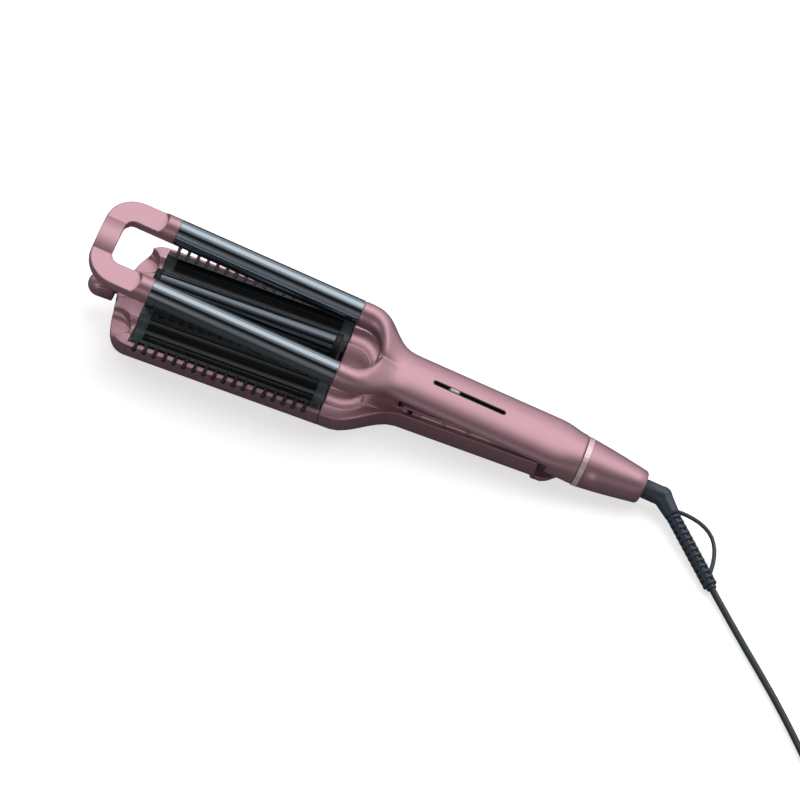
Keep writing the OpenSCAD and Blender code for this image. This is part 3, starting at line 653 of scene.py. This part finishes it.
# Pale trim: the moulded ring pressed between the handle and the tail, and the three pale bars let
# into the lever's side, in a lighter satin lacquer.
pale = Finish("light_ring")
pale_ring = pale.surface(
    Base_Color=pale.tint(pale.noise(60), (0.74, 0.56, 0.58, 1), (0.80, 0.62, 0.64, 1)),
    Metallic=0.45, Roughness=pale.noise(900) * 0.1 + 0.3)
for name in ("tail_ring", "lever_vents"):
    dressed(name, pale_ring)


# Barrels: drawn tubes with a glossy ceramic coating that mirrors the studio in bands. The upper
# two are blue-grey and sit in the collars; the middle one is darker and rides on its carriers.
coating = Finish("barrel_coating")
haze = coating.noise(90, 3)
barrel_coating = coating.surface(
    Base_Color=coating.tint(haze, (0.225, 0.262, 0.298, 1), (0.25, 0.288, 0.325, 1)),
    Metallic=0.97, Roughness=haze * 0.05 + 0.09,
    Normal=coating.bump(coating.noise(2600), 0.03, 0.00003))
for name in ("barrel_near", "barrel_far"):
    dressed(name, barrel_coating)

dark = Finish("dark_coating")
smoke = dark.noise(90, 3)
dark_coating = dark.surface(
    Base_Color=dark.tint(smoke, (0.085, 0.100, 0.118, 1), (0.105, 0.120, 0.140, 1)),
    Metallic=0.95, Roughness=smoke * 0.06 + 0.12)
dressed("middle_barrel", dark_coating)


# Combs: black heat-resistant plastic, one strip along each wall's ledge with round-ended teeth
# that lean out over the wall. A geometry tree sets copies of a tooth at equal steps, and is made
# real before the piece is used.
repeat = bpy.data.node_groups.new("repeat_along_line", "GeometryNodeTree")
repeat.interface.new_socket("Geometry", in_out="INPUT", socket_type="NodeSocketGeometry")
count_input = repeat.interface.new_socket("Count", in_out="INPUT", socket_type="NodeSocketInt")
step_input = repeat.interface.new_socket("Step", in_out="INPUT", socket_type="NodeSocketVector")
repeat.interface.new_socket("Geometry", in_out="OUTPUT", socket_type="NodeSocketGeometry")
given = repeat.nodes.new("NodeGroupInput")
line_of_points = repeat.nodes.new("GeometryNodeMeshLine")
copies = repeat.nodes.new("GeometryNodeInstanceOnPoints")
real = repeat.nodes.new("GeometryNodeRealizeInstances")
result = repeat.nodes.new("NodeGroupOutput")
for source, target in ((given.outputs["Count"], line_of_points.inputs["Count"]),
                       (given.outputs["Step"], line_of_points.inputs["Offset"]),
                       (line_of_points.outputs["Mesh"], copies.inputs["Points"]),
                       (given.outputs["Geometry"], copies.inputs["Instance"]),
                       (copies.outputs["Instances"], real.inputs["Geometry"]),
                       (real.outputs["Geometry"], result.inputs["Geometry"])):
    repeat.links.new(source, target)


def repeated(made, count, step):
    pattern = made.modifiers.new("repeat", "NODES")
    pattern.node_group = repeat
    pattern[count_input.identifier] = count
    pattern[step_input.identifier] = step
    return solid(taken(made))


def turned(profile, count):
    return rings([[Vector((radius * math.cos(a), radius * math.sin(a), z))
                   for a in round_turn(count)] for radius, z in profile])


plastic = Finish("black_plastic")
grain = plastic.noise(1800, 2)
black_plastic = plastic.surface(
    Base_Color=plastic.tint(plastic.noise(50), (0.010, 0.012, 0.014, 1),
                            (0.018, 0.021, 0.024, 1)),
    Roughness=grain * 0.15 + 0.34, Specular_IOR_Level=0.35,
    Normal=plastic.bump(grain, 0.15, 0.00006))

tooth_pitch, tooth_len, tooth_rise = 6.3, 9.6, 10
tooth_root_r, tooth_tip_r = 1.05, 1.55
strip_t = 0.35
wall_y = barrel_y + 11.5
ledge_y = wall_y - 2.8
jaw_back = -reach + 0.7
first_tooth = jaw_front + 5.6
tooth_count = int((jaw_back - jaw_front - 9) / tooth_pitch) + 1
strip_z = jaw_top + 1.05
tooth_profile = [(tooth_root_r, 0), (tooth_root_r, tooth_len * 0.55),
                 (tooth_tip_r * 0.92, tooth_len - tooth_tip_r * 1.5)] + [
    (max(0.02, tooth_tip_r * math.cos(a)), tooth_len - tooth_tip_r + tooth_tip_r * math.sin(a))
    for a in [math.pi / 2 * i / 6 for i in range(7)]]
for side, node in ((-1, "comb_near"), (1, "comb_far")):
    tooth = turned(tooth_profile, 20)
    lean_out = Matrix.Rotation(math.radians(-side * (90 - tooth_rise)), 4, "X")
    tooth.data.transform(Matrix.Translation((first_tooth, side * (ledge_y + 1.2), strip_z - 0.05))
                         @ lean_out)
    teeth = repeated(tooth, tooth_count, (tooth_pitch, 0, 0))
    inner, outer = sorted((side * ledge_y, side * (wall_y - 0.4)))
    strip = block(jaw_front + 2, jaw_back - 2, inner, outer, strip_z, strip_z + strip_t)
    moulded(node + "_skin", joined([strip, teeth]), lower_mm, black_plastic, (node,), 40)


# Lock and carriers: the same black plastic. The small lock slides in the lever's side, and the two
# carriers clip round the ends of the middle barrel and lift it.
for name in ("lock_button", "carrier_front", "carrier_rear"):
    dressed(name, black_plastic)


# Slot bezel: a thin black moulding, sunk just under the handle's crown round the marker's slot.
bezel_w = 0.6
bezel = prism(pill(slot_x0 - bezel_w, slot_x1 + bezel_w, 0, slot_hw + bezel_w),
              handle_top - 1.05, handle_top - 0.08)
opening = prism(pill(slot_x0, slot_x1, 0, slot_hw), handle_top - 2, handle_top + 1)
moulded("slot_bezel_skin", booled(bezel, [opening], "DIFFERENCE"), upper_mm, black_plastic,
        ("slot_bezel",), 30)


# Tray and plates: the tray that lines the lower jaw is black plastic with slate collars at both
# ends, and the curved plates in its two troughs are coated in glossy black ceramic.
tray_low, tray_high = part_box("jaw_liner")
end_len = 6.5 * mm
tray = Finish("tray_plastic")
at_end = ((tray.along("X") < tray_low.x + end_len)
          + (tray.along("X") > tray_high.x - end_len))
tray_plastic = tray.surface(
    Base_Color=tray.tint(at_end, (0.010, 0.012, 0.014, 1), (0.055, 0.085, 0.088, 1)),
    Roughness=tray.noise(700) * 0.12 + 0.3, Specular_IOR_Level=0.3)
dressed("jaw_liner", tray_plastic)

gloss = Finish("black_plate")
black_plate = gloss.surface(
    Base_Color=gloss.tint(gloss.noise(80), (0.008, 0.009, 0.011, 1), (0.013, 0.015, 0.017, 1)),
    Roughness=gloss.noise(400) * 0.06 + 0.10, Specular_IOR_Level=0.22)
for name in ("plate_near", "plate_far"):
    dressed(name, black_plate)


# Elbow, hanging loop and plug: moulded slate rubber. The elbow turns in the tail's end, the loop
# springs from the sleeve, and the plug is moulded onto the cord's end.
rubber = Finish("slate_rubber")
bloom = rubber.noise(160, 3)
slate_rubber = rubber.surface(
    Base_Color=rubber.tint(bloom, (0.027, 0.044, 0.062, 1), (0.043, 0.063, 0.084, 1)),
    Roughness=bloom * 0.14 + 0.30, Normal=rubber.bump(rubber.noise(2200), 0.2, 0.00006))
elbow = dressed("swivel_elbow", slate_rubber)
loop = dressed("hanging_loop", slate_rubber)
plug = dressed("plug_body", slate_rubber)


# Ribbed sleeve: the same rubber, moulded round the cord to keep it from kinking at the elbow. Its
# ribs are cut through to a round core between four flat spines. It is drawn along z, as turned.
rib_pitch, rib_count, rib_t = 3.9, 13, 1.9
rib_r, rib_bevel, core_r = 4.4, 0.35, 3.0
spine_r, spine_hw = rib_r - 0.1, 0.75
first_rib = nose_len + 1
last_rib_end = first_rib + (rib_count - 1) * rib_pitch + rib_t
rib = turned([(rib_r - rib_bevel, 0), (rib_r, rib_bevel), (rib_r, rib_t - rib_bevel),
              (rib_r - rib_bevel, rib_t)], 40)
rib.data.transform(Matrix.Translation((0, 0, first_rib)))
ribs = repeated(rib, rib_count, (0, 0, rib_pitch))
core = turned([(core_r, nose_len + 0.05), (core_r, sleeve_len)], 40)
spines = []
for spine_turn in (40, 140):
    spine = block(-spine_r, spine_r, -spine_hw, spine_hw, nose_len + 0.4, last_rib_end)
    spine.data.transform(Matrix.Rotation(math.radians(spine_turn), 4, "Z"))
    spines.append(spine)
sleeve_mm = (Matrix.Scale(mm, 4) @ Matrix.Translation(bend)
             @ Matrix.Rotation(sleeve_turn, 4, "Z")
             @ Matrix.Rotation(math.pi / 2 + sleeve_drop, 4, "Y"))
sleeve = moulded("cord_sleeve_skin", joined([ribs, core, *spines]), sleeve_mm, slate_rubber,
                 ("cord_sleeve",), 40)


# Bright steel: the hinge's pin and spring, the screws from below, the knob's shaft, the heaters
# inside the barrels, and the plug's pins, all turned, wound or drawn and left bare.
steel = Finish("bare_metal")
brushed = steel.noise(420, 4)
bare_metal = steel.surface(
    Base_Color=steel.tint(brushed, (0.55, 0.55, 0.57, 1), (0.66, 0.66, 0.68, 1)),
    Metallic=1.0, Roughness=brushed * 0.16 + 0.2)
for name in ("hinge_pin", "hinge_spring", "shell_screws", "dial_shaft", "heater_near",
             "heater_far", "middle_heater"):
    dressed(name, bare_metal)
pins = dressed("plug_pins", bare_metal)


# Slider marker and circuit board: a white plastic marker that runs in the handle's slot, over the
# green board that it switches.
button = Finish("white_button")
white_button = button.surface(
    Base_Color=button.tint(button.noise(200), (0.84, 0.84, 0.83, 1), (0.88, 0.88, 0.87, 1)),
    Roughness=button.noise(900) * 0.1 + 0.3)
dressed("slider_button", white_button)

board = Finish("board")
green_board = board.surface(
    Base_Color=board.tint(board.noise(300), (0.01, 0.06, 0.025, 1), (0.02, 0.09, 0.04, 1)),
    Roughness=board.noise(500) * 0.2 + 0.35)
dressed("circuit_board", green_board)
